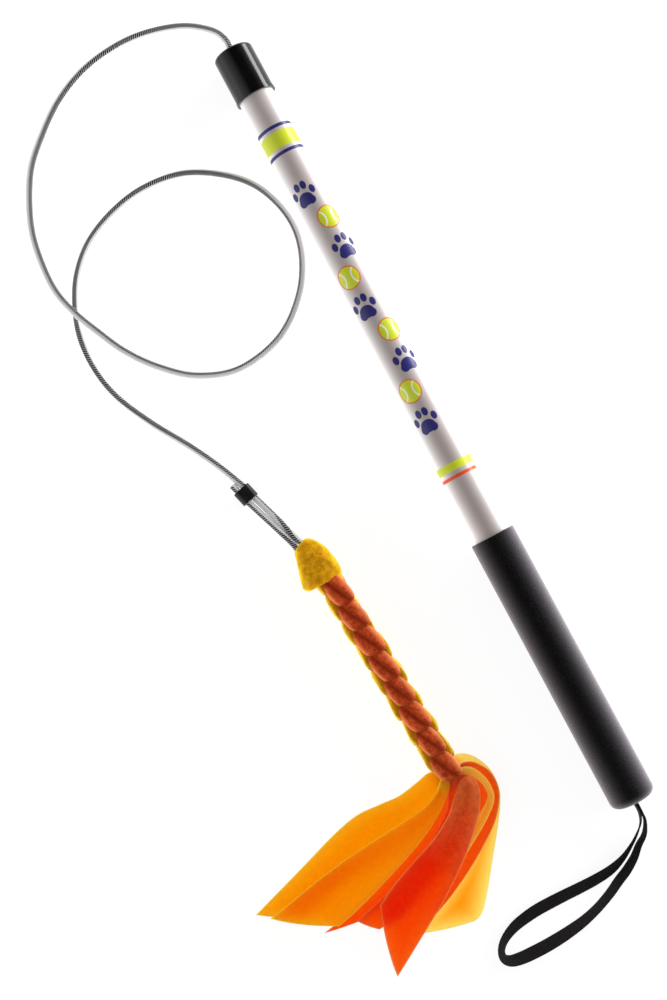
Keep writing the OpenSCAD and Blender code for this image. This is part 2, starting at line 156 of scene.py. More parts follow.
class Finish:
    """A material's node tree, with short calls to add nodes to it."""

    def __init__(self, name, world=False, **sockets):
        self.material = bpy.data.worlds.new(name) if world else bpy.data.materials.new(name)
        self.material.use_nodes = True
        self.tree = self.material.node_tree
        self.shader = self.tree.nodes["Background" if world else "Principled BSDF"]
        self.out = self.tree.nodes["World Output" if world else "Material Output"]
        for key, value in sockets.items():
            self.shader.inputs[key.replace("_", " ")].default_value = value

    def add(self, kind, inputs=None, **settings):
        """A node of a kind: its settings, and each input linked to a socket or set to a value."""
        made = self.tree.nodes.new(kind)
        for key, value in settings.items():
            setattr(made, key, value)
        for key, value in (inputs or {}).items():
            if isinstance(value, bpy.types.NodeSocket):
                self.tree.links.new(value, made.inputs[key])
            else:
                made.inputs[key].default_value = value
        return made

    def calc(self, operation, *values):
        """The result of one arithmetic step on one or two numbers."""
        return self.add("ShaderNodeMath", dict(enumerate(values)), operation=operation).outputs[0]

    def place(self):
        """X, Y and Z of the object's own frame."""
        self.object = self.add("ShaderNodeTexCoord").outputs["Object"]
        return self.add("ShaderNodeSeparateXYZ", {0: self.object}).outputs

    def lay(self):
        """The piece's own length and girth values, kept with its mesh."""
        kept = self.add("ShaderNodeUVMap", uv_map="lay").outputs[0]
        return self.add("ShaderNodeSeparateXYZ", {0: kept}).outputs

    def noise(self, scale, detail=2.0, vector=None):
        """Soft noise from 0 to 1, scale cells to the metre."""
        inputs = {"Scale": scale, "Detail": detail}
        if vector is not None:
            inputs["Vector"] = vector
        return self.add("ShaderNodeTexNoise", inputs).outputs["Fac"]

    def mix(self, share, one, two):
        """The first colour at share 0, the second at share 1."""
        made = self.add("ShaderNodeMix", data_type="RGBA")
        for key, value in ((0, share), (6, one), (7, two)):
            if isinstance(value, bpy.types.NodeSocket):
                self.tree.links.new(value, made.inputs[key])
            else:
                made.inputs[key].default_value = (*value, 1) if isinstance(value, tuple) else value
        return made.outputs[2]

    def ramp(self, value, low, high, to_low=0.0, to_high=1.0):
        """A straight line from to_low at low to to_high at high, level beyond both."""
        inputs = {"Value": value, "From Min": low, "From Max": high, "To Min": to_low, "To Max": to_high}
        return self.add("ShaderNodeMapRange", inputs).outputs[0]

    def colour(self, socket):
        """Gives the surface its colour."""
        self.tree.links.new(socket, self.shader.inputs["Base Color"])

    def rough(self, socket):
        """Gives the surface its roughness."""
        self.tree.links.new(socket, self.shader.inputs["Roughness"])

    def bump(self, height, strength, distance):
        """Tips the surface's normal by the slope of a height."""
        made = self.add("ShaderNodeBump", {"Height": height, "Strength": strength, "Distance": distance})
        self.tree.links.new(made.outputs[0], self.shader.inputs["Normal"])


def fleece(name, tones, shade, light=None):
    """Napped fleece: a dark, a middle and a bright tone, the first two mottled by fibre noise. shade gives the
    shares of the bright tone, a painted highlight, and of the dark tone, painted shade, and of the light that
    comes through a single layer of cloth; light is that light's colour in the middle of a strip and at its cut
    edges, where it is paler as a painted glow."""
    dark, mid, bright = tones
    f = Finish(name, Roughness=0.95, Sheen_Weight=1.0, Sheen_Roughness=0.4)
    f.shader.inputs["Sheen Tint"].default_value = (*bright, 1)
    f.shader.inputs["Specular IOR Level"].default_value = 0.1
    f.place()
    soft = f.noise(300.0, 3.0, f.object)
    nap = f.noise(1500.0, 5.0, f.object)
    tone = f.mix(f.ramp(f.calc("ADD", nap, soft), 0.75, 1.25), dark, mid)
    pale, deep, passed = shade(f)
    # Painted highlight and painted shade: pale lays on the bright tone, deep the dark one
    f.colour(f.mix(deep, f.mix(pale, tone, bright), dark))
    f.bump(f.calc("ADD", nap, f.calc("MULTIPLY", soft, 0.3)), 0.5, 0.0008)
    if light:
        grain = f.ramp(f.calc("ADD", nap, soft), 0.75, 1.25, 0.1, 0.0)
        # Painted glow: the light through the cloth turns paler where pale is high, along the cut edges
        lit = f.add("ShaderNodeBsdfTranslucent", {"Color": f.mix(grain, f.mix(pale, *light), dark)})
        both = f.add("ShaderNodeMixShader", {0: passed, 1: f.shader.outputs[0], 2: lit.outputs[0]})
        f.tree.links.new(both.outputs[0], f.out.inputs["Surface"])
    return f.material


def turned_away(f, low, high):
    """How far the surface turns away from the view: 0 face on, 1 at the edge."""
    return f.ramp(f.add("ShaderNodeLayerWeight", {"Blend": 0.5}).outputs["Facing"], low, high)


def hood_shade(f):
    """Painted rim light: brighter where the hood turns away."""
    return turned_away(f, 0.1, 0.7), 0.0, 0.0


def lobe_shade(f):
    """Painted highlight along a lobe's sides and where it turns away, painted shade at its ends and
    in its middle crease.
    """
    along, across, _ = f.lay()
    ends = f.ramp(f.calc("ABSOLUTE", along), 0.72, 0.98)
    off = f.calc("ABSOLUTE", f.calc("SUBTRACT", across, f.calc("MULTIPLY", along, 0.35)))
    crease = f.ramp(off, 0.5, 0.05, 0.0, 0.95)
    sides = f.ramp(f.calc("ABSOLUTE", across), 0.55, 1.0, 0.0, 0.8)
    return f.calc("MAXIMUM", sides, turned_away(f, 0.14, 0.68)), f.calc("MAXIMUM", ends, crease), 0.0


def rim_shade(f):
    """Painted highlight along a lobe's outermost line and where it turns away, painted shade at its ends
    and beside its neighbours.
    """
    along, across, _ = f.lay()
    off = f.calc("ABSOLUTE", across)
    ends = f.ramp(f.calc("ABSOLUTE", along), 0.7, 0.98)
    outer = f.ramp(off, 0.9, 0.25)
    inner = f.ramp(off, 0.66, 1.0, 0.0, 0.75)
    return f.calc("MAXIMUM", outer, turned_away(f, 0.2, 0.7)), f.calc("MAXIMUM", ends, inner), 0.0


def strip_shade(gathered, share, fade=14.0, level=0.35, lost=0.3):
    """Painted highlight along the cut edges, slowly less so away from them, and painted shade near the braid,
    where the gathered length also lets less light through.
    """
    def shade(f):
        """Shares for one strip, from the distance to its cut edge and the length from the braid."""
        edge, along, _ = f.lay()
        # Painted highlight: line and slow pale the strip along its cut edges; the dark share near the braid is
        # painted shade
        line = f.ramp(edge, 2.0, 0.5, 0.0, 1.0)
        slow = f.calc("MULTIPLY", f.calc("POWER", f.ramp(edge, fade, 1.0), 1.5), level)
        passed = f.ramp(along, gathered * 0.1, gathered, 0.3 * share, share)
        return (f.calc("MAXIMUM", line, slow), f.ramp(along, gathered * 0.4, 0.0, 0.0, 0.35),
                f.calc("MULTIPLY", passed, f.ramp(line, 0.0, 1.0, 1.0, 1.0 - lost)))
    return shade


def cord_finish():
    """Braided cover: pale diamonds with seams darkened as painted shade, and black slanted ticks along
    one line of it.
    """
    f = Finish("braided cord cover", Roughness=0.8, Sheen_Weight=0.2)
    s, girth, _ = f.lay()
    picks = f.calc("MULTIPLY", s, 1 / PICK)
    yarns = f.calc("MULTIPLY", girth, float(YARNS))
    one = f.calc("ABSOLUTE", f.calc("SINE", f.calc("MULTIPLY", f.calc("ADD", yarns, picks), np.pi)))
    two = f.calc("ABSOLUTE", f.calc("SINE", f.calc("MULTIPLY", f.calc("SUBTRACT", yarns, picks), np.pi)))
    raised = f.calc("POWER", f.calc("MULTIPLY", one, two), 0.5)
    # Painted shade: the cover's colour darkens in the seams between the raised yarns
    pale = f.mix(f.ramp(raised, 0.1, 0.6), (0.44, 0.43, 0.43), (0.84, 0.82, 0.82))
    away = f.calc("ABSOLUTE", f.calc("SUBTRACT", f.calc("FRACT", f.calc("ADD", girth, 0.5)), 0.5))
    slanted = f.calc("FRACT", f.calc("ADD", picks, f.calc("MULTIPLY", girth, YARNS / 2)))
    half_girth, dark_share = 0.13, 0.77
    tick = f.calc("MULTIPLY", f.calc("LESS_THAN", away, half_girth), f.calc("LESS_THAN", slanted, dark_share))
    f.colour(f.mix(tick, pale, (0.012, 0.012, 0.013)))
    f.bump(raised, 0.6, 0.0003)
    return f.material


def webbing_finish():
    """Black woven band: faint purple-brown picks on near black, ribbed across."""
    f = Finish("black webbing", Roughness=0.8)
    f.shader.inputs["Specular IOR Level"].default_value = 0.25
    s, across, _ = f.lay()
    pick = f.calc("SINE", f.calc("MULTIPLY", s, 2 * np.pi / WEFT))
    end = f.calc("SINE", f.calc("MULTIPLY", across, 2 * np.pi / WARP))
    weave = f.calc("MULTIPLY", pick, end)
    f.colour(f.mix(f.ramp(weave, -1.0, 1.0), (0.003, 0.0025, 0.003), (0.02, 0.015, 0.018)))
    f.bump(weave, 0.6, 0.0002)
    return f.material


def tube_finish():
    """White extruded plastic with a printed row of paw marks and balls between coloured rings. Its colour
    carries painted shade and highlight: grey where it faces the view, white where it turns away.
    """
    f = Finish("white printed tube", Roughness=0.32)
    x, y, z = f.place()
    s = f.calc("MULTIPLY", y, 1 / MM)
    arc = f.calc("MULTIPLY", f.calc("ARCTAN2", x, z), TUBE_R)
    fade = f.noise(60.0, 3.0, f.object)
    away = turned_away(f, 0.0, 0.6)
    # Painted shade and highlight: grey facing the view, paling to white where the tube turns away
    colour = f.mix(away, f.mix(fade, (0.41, 0.348, 0.332), (0.45, 0.382, 0.365)), (0.92, 0.91, 0.9))

    def inside(centre, size, across, along):
        """1 inside an oval and 0 outside it, by the sum of the squares of the places over its half sizes."""
        dx = f.calc("MULTIPLY", f.calc("SUBTRACT", across, centre[0]), 1 / size[0])
        dy = f.calc("MULTIPLY", f.calc("SUBTRACT", along, centre[1]), 1 / size[1])
        far = f.calc("ADD", f.calc("MULTIPLY", dx, dx), f.calc("MULTIPLY", dy, dy))
        return f.ramp(far, 1.12, 0.96)

    def either(*marks):
        """The largest of the marks."""
        made = marks[0]
        for mark in marks[1:]:
            made = f.calc("MAXIMUM", made, mark)
        return made

    def ring(low, high):
        """1 between two places along the tube."""
        return f.calc("MULTIPLY", f.calc("GREATER_THAN", s, low), f.calc("LESS_THAN", s, high))

    # Marks step along the tube, one cell each, and change sides from cell to cell; balls lie half a cell on
    cell, first, last, sway = 46.0, 176.0, 406.0, 9.0
    from_first = f.calc("SUBTRACT", s, first)
    along = f.calc("SUBTRACT", f.calc("FLOORED_MODULO", from_first, cell), cell / 2)
    odd = f.calc("FLOORED_MODULO", f.calc("FLOOR", f.calc("DIVIDE", from_first, cell)), 2.0)
    side = f.calc("SUBTRACT", f.calc("MULTIPLY", odd, sway), sway / 2)
    across = f.calc("SUBTRACT", arc, side)
    within = ring(first, last)
    toes = [inside(c, (2.2, 3.1), across, along) for c in ((-7.4, 0.5), (-2.6, 5.6), (2.6, 5.6), (7.4, 0.5))]
    paw = either(inside((0, -4.6), (5.6, 4.6), across, along), inside((-3.4, -6.6), (3.2, 3.2), across, along),
                 inside((3.4, -6.6), (3.2, 3.2), across, along), *toes)
    from_half = f.calc("ADD", from_first, cell / 2)
    between = f.calc("SUBTRACT", f.calc("FLOORED_MODULO", from_half, cell), cell / 2)
    even = f.calc("FLOORED_MODULO", f.calc("FLOOR", f.calc("DIVIDE", from_half, cell)), 2.0)
    other = f.calc("ADD", arc, f.calc("SUBTRACT", f.calc("MULTIPLY", even, sway), sway / 2))
    rim = inside((0, 0), (8.6, 8.6), other, between)
    ball = inside((0, 0), (7.8, 7.8), other, between)
    seams = [inside((c, 0), (r, r), other, between) for c in (-10.5, 10.5) for r in (8.0, 7.0)]
    seam = f.calc("MULTIPLY", ball, either(f.calc("SUBTRACT", *seams[:2]), f.calc("SUBTRACT", *seams[2:])))
    navy, lime, red = (0.022, 0.02, 0.16), (0.58, 0.66, 0.02), (0.75, 0.07, 0.015)
    inner = ring(first + 14.0, last - 14.0)
    for mark, ink in (
        (f.calc("MULTIPLY", paw, within), navy), (f.calc("MULTIPLY", rim, inner), red),
        (f.calc("MULTIPLY", ball, inner), lime), (f.calc("MULTIPLY", seam, inner), (0.85, 0.85, 0.8)),
        (ring(420.0, 432.0), lime), (either(ring(415.0, 417.5), ring(434.5, 437.0)), navy),
        (ring(158.0, 164.0), lime), (ring(152.5, 155.0), red),
    ):
        colour = f.mix(mark, colour, ink)
    f.colour(colour)
    f.rough(f.ramp(fade, 0.3, 0.7, 0.28, 0.38))
    f.bump(f.noise(900.0, 2.0, f.object), 0.04, 0.0003)
    return f.material


def foam_finish():
    """Matt black closed-cell foam: fine pores, and a painted grey sheen where the skin turns away."""
    f = Finish("black grip foam", Roughness=0.9)
    f.shader.inputs["Specular IOR Level"].default_value = 0.12
    f.place()
    pores = f.add("ShaderNodeTexVoronoi", {"Scale": 1100.0, "Vector": f.object}).outputs["Distance"]
    grain = f.noise(700.0, 4.0, f.object)
    # Painted sheen: the colour pales to grey where the skin turns away from the view
    painted_rim_sheen = f.calc("POWER", turned_away(f, 0.0, 1.0), 1.3)
    skin = f.mix(f.ramp(grain, 0.35, 0.75), (0.002, 0.0016, 0.002), (0.009, 0.0075, 0.0085))
    f.colour(f.mix(f.calc("MULTIPLY", painted_rim_sheen, 0.5), skin, (0.72, 0.66, 0.72)))
    f.bump(f.calc("ADD", pores, grain), 0.7, 0.0006)
    return f.material


def plain_finish(name, dark, light, rough, scale, metallic=0.0):
    """A hard surface: one colour with slight cloud and wear in colour and shine."""
    f = Finish(name, Metallic=metallic)
    f.place()
    cloud = f.noise(scale, 4.0, f.object)
    f.colour(f.mix(f.ramp(cloud, 0.3, 0.7), dark, light))
    f.rough(f.ramp(cloud, 0.3, 0.7, rough * 0.85, rough * 1.2))
    f.bump(f.noise(scale * 6, 2.0, f.object), 0.06, 0.0003)
    return f.material


def set_camera():
    """Looks down on the pole from above, turned so that the pole leans to the upper left."""
    ahead = unit(np.array([0.0367, 0.0694, -0.9969]))
    right = unit(np.cross(ahead, [0.4663, 0.8811, 0.0785]))
    up = np.cross(right, ahead)
    made = bpy.data.objects.new("camera", bpy.data.cameras.new("camera"))
    bpy.context.scene.collection.objects.link(made)
    made.data.lens, made.data.sensor_width = 56.05, 36.0
    axes = np.eye(4)
    axes[:3, 0], axes[:3, 1], axes[:3, 2], axes[:3, 3] = right, up, -ahead, (-0.1279, 0.1034, 1.1016)
    made.matrix_world = Matrix(axes.tolist())
    bpy.context.scene.camera = made


def set_stage():
    """A white lit floor that keeps a faint shadow, and a sky bright at the horizon and dim overhead."""
    bpy.ops.mesh.primitive_plane_add(size=8.0, location=(-0.1, 0.2, (FLOOR - 0.1) * MM))
    floor = bpy.context.object
    floor.name = "white_floor"
    f = Finish("white floor", Roughness=1.0)
    f.shader.inputs["Base Color"].default_value = (0.9, 0.9, 0.9, 1)
    f.shader.inputs["Specular IOR Level"].default_value = 0.0
    path = f.add("ShaderNodeLightPath").outputs
    mirrored = f.calc("MAXIMUM", path["Is Glossy Ray"], path["Is Transmission Ray"])
    seen = f.calc("MAXIMUM", path["Is Camera Ray"], mirrored)
    glow = f.add("ShaderNodeEmission", {"Color": (1, 1, 1, 1), "Strength": f.ramp(seen, 0.0, 1.0, 2.7, 1.2)})
    both = f.add("ShaderNodeMixShader", {0: 0.28, 1: glow.outputs[0], 2: f.shader.outputs[0]})
    f.tree.links.new(both.outputs[0], f.out.inputs["Surface"])
    floor.data.materials.append(f.material)

    f = Finish("soft room", world=True)
    x, _, z = f.add("ShaderNodeSeparateXYZ", {0: f.add("ShaderNodeTexCoord").outputs["Generated"]}).outputs
    path = f.add("ShaderNodeLightPath").outputs
    left = f.ramp(x, -0.2, -0.9, 0.0, 0.8)
    right = f.ramp(x, 0.5, 0.95, 0.0, 0.4)
    low = f.ramp(z, 0.5, 0.0, 0.0, 0.5)
    over = f.ramp(path["Is Glossy Ray"], 0.0, 1.0, 0.33, 0.04)
    level = f.calc("ADD", f.calc("ADD", left, right), f.calc("ADD", low, over))
    bpy.context.scene.world = f.material
    f.shader.inputs["Color"].default_value = (1, 1, 1, 1)
    f.tree.links.new(f.calc("MAXIMUM", level, path["Is Camera Ray"]), f.shader.inputs["Strength"])
    bpy.context.scene.view_settings.view_transform = "Standard"

    strip = bpy.data.lights.new("side strip", "AREA")
    strip.shape, strip.size, strip.size_y, strip.energy = "RECTANGLE", 0.26, 1.1, 7.4
    lamp = bpy.data.objects.new("side_strip", strip)
    bpy.context.scene.collection.objects.link(lamp)
    lamp.location = (0.62, 0.3, 0.12)
    lamp.rotation_euler = (0.0, np.radians(84), 0.0)


def cord_skin(name, line, s, finish, tracer):
    """Braided cord: a circle carried along a line, its radius raised by the product of two waves that
    wind round it eight times, one each way, so that the seams between yarns show as diamonds. The girth
    values kept with the mesh count from the tracer's own line, which wanders round the cord."""
    m, groove, crown = 28, 0.12, 0.16
    ahead = unit(np.gradient(line, axis=0))
    side = unit(np.cross([0, 0, 1], ahead))
    up = np.cross(ahead, side)
    turn = np.arange(m + 1) / m
    a = 2 * np.pi * turn[:m] - np.pi / 2
    yarns, picks = YARNS * turn[:m], s[:, None] / PICK
    lift = np.abs(np.sin(np.pi * (yarns + picks)) * np.sin(np.pi * (yarns - picks)))
    r = CORD_R - groove + crown * np.sqrt(lift)
    grid = line[:, None] + r[..., None] * (np.cos(a)[:, None] * side[:, None] + np.sin(a)[:, None] * up[:, None])
    at = np.interp(s, *np.array(tracer, float).T)
    uv = np.stack(np.broadcast_arrays(s[:, None], turn[None] - at[:, None]), -1)
    return piece(name, grid, finish, closed=True, ends=True, uv=uv)


def cord_lay():
    """The cord's route: up out of the cap, round two wide turns on the floor, down to the sleeve."""
    on_floor = np.array([
        (-5, 375, 11), (-22, 390, 6), (-48, 400, 1.5), (-74, 402, 0), (-102, 397, 0), (-128, 385, 0),
        (-150, 368, 0), (-168, 350, 0), (-181, 328, 0), (-190, 305, 0), (-194, 280, 1), (-194, 258, 4),
        (-189, 238, 5.6), (-181, 219, 4.4), (-170, 197, 1.2), (-154, 176, 0), (-132, 157, 0), (-102, 147, 0),
        (-66, 154, 0), (-38, 176, 0), (-22, 204, 0), (-19, 231, 0), (-28, 259, 0), (-46, 279, 0),
        (-72, 294, 0), (-102, 298, 0), (-130, 293, 0), (-156, 281, 0), (-175, 263, 0), (-187, 242, 0),
        (-194, 220, 0), (-195, 195, 0), (-190, 170, 0), (-177, 142, 0), (-161, 115, 0), (-149, 92, 0.5)], float)
    into_sleeve = placed(np.array([(2.6, 71.35, SLEEVE_Z), (2.6, 66.3, SLEEVE_Z)]), LOOP_TURN)
    out_of_cap = [(0, 505.5, 0), (0, CORD_OUT, 0)]
    return np.vstack([out_of_cap, on_floor + (0, LURE_AT[1], FLOOR + 0.1 + CORD_R), into_sleeve])


def loop_lay():
    """The doubled end: from the sleeve down to the eye, round it, and back up to the cut end. Both legs
    stay side by side into the hood and drift a little to the right on the way."""
    leg = np.array([
        (2.6, 66, SLEEVE_Z), (2.7, 60.65, SLEEVE_Z), (2.62, 48.2, -3.8), (2.45, 36.3, -1.9), (2.38, 25.7, -0.3),
        (2.38, 18, 0), (2.8, 13, 0), (4.4, 8.5, 0), (6.2, 4, 0)])
    drift = np.array([0, 0.3, 1.1, 1.9, 2.5, 2.8, 2.9, 2.7, 2.5])[:, None] * (1, 0, 0)
    a = np.radians(np.arange(0, -181, -22.5))
    eye_x, eye_r = 2.4, 6.6
    eye = np.stack([eye_x + eye_r * np.cos(a), eye_r * np.sin(a), 0 * a], 1)
    back = (leg * (-1, 1, 1) + drift)[::-1]
    return placed(np.vstack([leg + drift, eye, back, [(-2.9, 77.35, SLEEVE_Z)]]), LOOP_TURN)


def make_cord(finish):
    """The free cord, its short neck at the cap, the doubled end, and the run inside the tube. The neck and
    the free cord share one curve, parted after its first two spans."""
    route = through(np.vstack([[(0, TUBE_TIP, 0)], cord_lay()]), CURVE_STEPS)
    parting = 2 * CURVE_STEPS
    line, s = evenly(route[parting:], 2300)
    tracer = [(0, 0.57), (60, 0.5), (130, 0.42), (220, 0.36), (420, 0.37), (520, 0.32), (600, 0.33), (690, 0.5),
              (760, 0.58), (850, 0.53), (940, 0.42), (1000, 0.38)]
    cord = cord_skin("cord", line, s, finish, tracer)
    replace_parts(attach(cord, "cord"), "cord_line")
    neck_line, neck_s = evenly(route[:parting + 1], 36)
    neck = cord_skin("cord_neck", neck_line, neck_s, finish, [(0, 0.58), (14, 0.57)])
    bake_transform(neck)
    loop_line, loop_s = evenly(through(loop_lay(), CURVE_STEPS), 430)
    loop = cord_skin("cord_eye", loop_line, loop_s, finish,
                     [(0, 0.28), (25, 0.3), (45, 0.6), (60, 0.68), (100, 0.5), (120, 0.36), (170, 0.36)])
    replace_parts(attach(loop, "cord"), "cord_loop")
    inner_line, inner_s = evenly(through([(0, -77.5, 0), (0, 200, 0), (0, TUBE_TIP, 0)]), 1200)
    inner = cord_skin("cord_inside", inner_line, inner_s, finish, [(0, 0.5), (600, 0.5)])
    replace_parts(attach(inner, "pole"), "cord_inner")


def band_skin(name, line, s, finish):
    """Woven band: a thin strip with rounded edges carried along a line, its width turned by the line's
    fourth value, its faces raised and sunk by a wave along times a wave across, its edges scalloped."""
    m = 25
    ahead = unit(np.gradient(line[:, :3], axis=0))
    out = unit(np.stack([ahead[:, 1], -ahead[:, 0], 0 * s], 1))
    lean = np.radians(line[:, 3:4])
    wide = np.cos(lean) * (0, 0, 1) + np.sin(lean) * out
    thick = unit(np.cross(wide, ahead))
    c = np.linspace(-1, 1, m)
    half = STRAP_W / 2 - 0.1 + 0.1 * np.abs(np.sin(np.pi * s / WEFT))[:, None]
    weave = 0.06 * np.sin(2 * np.pi * s / WEFT)[:, None] * np.sin(2 * np.pi * c * STRAP_W / 2 / WARP)
    deep = STRAP_T / 2 * np.sqrt(1 - c**8) - 0.05
    top = line[:, None, :3] + (c * half)[..., None] * wide[:, None] + (deep + weave)[..., None] * thick[:, None]
    low = line[:, None, :3] + (c * half)[..., None] * wide[:, None] - (deep - weave)[..., None] * thick[:, None]
    grid = np.concatenate([top, low[:, ::-1]], 1)
    across = np.concatenate([c, c[::-1], c[:1]]) * STRAP_W / 2
    uv = np.stack(np.broadcast_arrays(s[:, None], across[None]), -1)
    return piece(name, grid, finish, closed=True, ends=True, uv=uv)


def strap_lay():
    """The strap's route out of the slit, round its loop on the floor and back: x, y, z and lean."""
    bend = np.array([
        (-9, -22.5, 18), (-16, -28, 25), (-25.4, -33.2, 38), (-36.6, -36.6, 56), (-49.5, -37.6, 64),
        (-61.6, -37.5, 68), (-73.9, -37.1, 71), (-85.8, -36.9, 74), (-95.8, -37, 74), (-104.8, -37.8, 71),
        (-113.8, -39.3, 64),
        (-121.6, -42, 54), (-127.8, -45.8, 44), (-131.6, -50.6, 36), (-132, -55.4, 36), (-128.2, -59, 46),
        (-120.8, -60.8, 57), (-111.7, -61.5, 62), (-101.3, -61.6, 60), (-90.8, -61.1, 55), (-80, -60, 46),
        (-69.3, -58.3, 37), (-57.6, -55.2, 31), (-45.5, -50.6, 31), (-35.7, -45.8, 33), (-26.8, -41.8, 32),
        (-18, -36.4, 24), (-11, -30.3, 16)], float)
    lean = np.radians(bend[:, 2])
    rest = FLOOR + 0.3 + STRAP_W / 2 * np.cos(lean) + STRAP_T / 2 * np.sin(lean)
    z = np.maximum(rest, -4.5 + 0.36 * (bend[:, 1] + 16) - 0.12 * np.abs(bend[:, 0]))
    bend = np.stack([bend[:, 0], bend[:, 1], z, bend[:, 2]], 1)
    first = [(-LEG_X, -STRAP_OUT, 0, 0), (-LEG_X, -9, -1.5, 0), (-3.2, -16, -4.5, 8)]
    last = [(-4, -24.5, -8, 8), (0.4, -16, -4.5, 0), (LEG_X, -9, -1.5, 0), (LEG_X, -STRAP_OUT, 0, 0)]
    return np.vstack([first, bend, last]) + (0, GRIP_END, 0, 0)


def make_strap(finish):
    """The wrist loop, and its two ends through the slit to the turn round the pin."""
    line, s = evenly(through(strap_lay(), CURVE_STEPS), 1150)
    strap = band_skin("wrist_webbing", line, s, finish)
    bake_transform(strap)
    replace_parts(strap, "wrist_strap")
    a = np.radians(np.arange(180, -1, -22.5))
    turn = np.stack([PIN_TURN_R * np.cos(a), PIN_Y + PIN_TURN_R * np.sin(a), 0 * a, 0 * a], 1)
    ends = [[(x, y, 0, 0) for y in (-106.8, -103.0, -97.0)] for x in (-LEG_X, LEG_X)]
    root_line, root_s = evenly(through(np.vstack([ends[0], turn, ends[1][::-1]]), CURVE_STEPS), 150)
    root = band_skin("strap_end", root_line, root_s, finish)
    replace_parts(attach(root, "pole"), "strap_root")


def make_hood(finish):
    """The fleece hood over the cord's eye: ovals stacked down the lure between a left and a right outline,
    as deep as the fifth value of each row, dented by slow waves round and along it and turned in at the hem."""
    rows = through(np.array([
        (0.4, 12.4, 1.0, 12.8, 0.2), (-3.2, 11.6, 4.8, 14.6, 3.2), (-4.2, 11.6, 8.2, 14.8, 4.6),
        (-5.8, 8.4, 12.4, 10.4, 6.4), (-8.0, 2.4, 15.4, 3.0, 8.2), (-10.4, -4.0, 17.0, -4.2, 9.1),
        (-12.7, -10.4, 17.6, -10.8, 9.4), (-13.5, -14.0, 17.3, -15.6, 9.4), (-12.7, -16.6, 15.8, -19.2, 9.1),
        (-10.8, -18.2, 13.6, -21.0, 8.4), (-9.0, -17.6, 11.8, -20.4, 7.4), (-8.0, -15.0, 10.6, -17.0, 6.6),
        (1.0, -12.0, 1.4, -12.0, 0.2)]), 8)
    a = np.linspace(0, 2 * np.pi, 97)[:-1]
    left, right, deep = rows[:, None, 0:2], rows[:, None, 2:4], rows[:, 4:5]
    y = (rows[:, 1:2] + rows[:, 3:4]) / 2
    dent = 1 + 0.02 * np.sin(3 * a + y / 5) + 0.015 * np.sin(5 * a - y / 4 + 1) + 0.01 * np.sin(9 * a + y / 2)
    plan = (left + right) / 2 + (right - left) / 2 * (dent * np.cos(a))[..., None]
    z = np.maximum(deep * dent * np.sin(a), LURE_FLOOR)
    hood = piece("fleece_hood", placed(np.concatenate([plan, z[..., None]], -1), LURE_TURN), finish, closed=True)
    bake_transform(hood)
    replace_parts(hood, "lure_head")


def make_braid(name, node, facing, shift, reach, width, thick, finish, tuck=0.0, count=9):
    """One column of the square braid: a row of pillows, each a ball drawn out into a rounded box by powers
    below one, sheared so that its ends slant, creased along its middle, turned a little across the column
    and tucked under its neighbours. Towards the hood the column draws in by up to tuck, and it ends under
    the cord's eye."""
    lat = np.linspace(-np.pi / 2, np.pi / 2, 37)[:, None]
    lon = np.linspace(0, 2 * np.pi, 49)[None]

    def power(v, e):
        """A power that keeps the sign."""
        return np.sign(v) * np.abs(v) ** e

    u = power(np.sin(lat), 0.75) * np.ones_like(lon)
    v = power(np.cos(lat), 0.45) * power(np.cos(lon), 0.85)
    w = power(np.cos(lat), 0.6) * power(np.sin(lon), 0.85)
    length, slant, sheared, deep = 11.4, np.radians(9), 1.5, 1.3
    crease = deep * np.exp(-(((v - 0.35 * u) / 0.2) ** 2)) * np.clip(w, 0, 1) * (1 - u**4)
    f = np.radians(facing)
    out = np.array([np.cos(f), 0, np.sin(f)])
    side = np.array([np.sin(f), 0, -np.cos(f)])
    down = np.array([-BRAID_LEAN / BRAID_L, -1.0, 0])
    long_axis = np.cos(slant) * down + np.sin(slant) * side
    wide_axis = np.cos(slant) * side - np.sin(slant) * down
    k = np.arange(count) + 0.5 - shift
    k = k[k * LOBE_PITCH < BRAID_L - 3]
    uneven = np.random.default_rng(facing % 360).uniform(-1, 1, (5, len(k), 1, 1))
    lump = 0.35 * np.sin(3.1 * u + 2 * v + 3 * uneven[3]) + 0.25 * np.sin(5.3 * v - 2 * u + 3 * uneven[4])
    along = u * length * (1 + 0.04 * uneven[0]) + sheared * v
    across = v * width * (1 + 0.06 * uneven[1])
    high = w * thick * (1 + 0.06 * uneven[2]) - crease + 0.7 * u + lump * np.abs(w)
    pillow = along[..., None] * long_axis + across[..., None] * wide_axis + high[..., None] * out
    reach = reach - tuck * np.clip(1 - k[:, None] / 3, 0, 1)
    middles = np.array([BRAID_LEAN, BRAID_TOP, 0]) + k[:, None] * LOBE_PITCH * down + reach * out
    grids = pillow[:, :, :-1] + middles[:, None, None]
    grids[..., 1] = np.minimum(grids[..., 1], UNDER_EYE)
    grids[..., 2] = np.maximum(grids[..., 2], LURE_FLOOR)
    grids = placed(grids, LURE_TURN)
    made = piece(name, grids, finish, closed=True, uv=np.stack([u, v], -1))
    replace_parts(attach(made, "lure"), node)


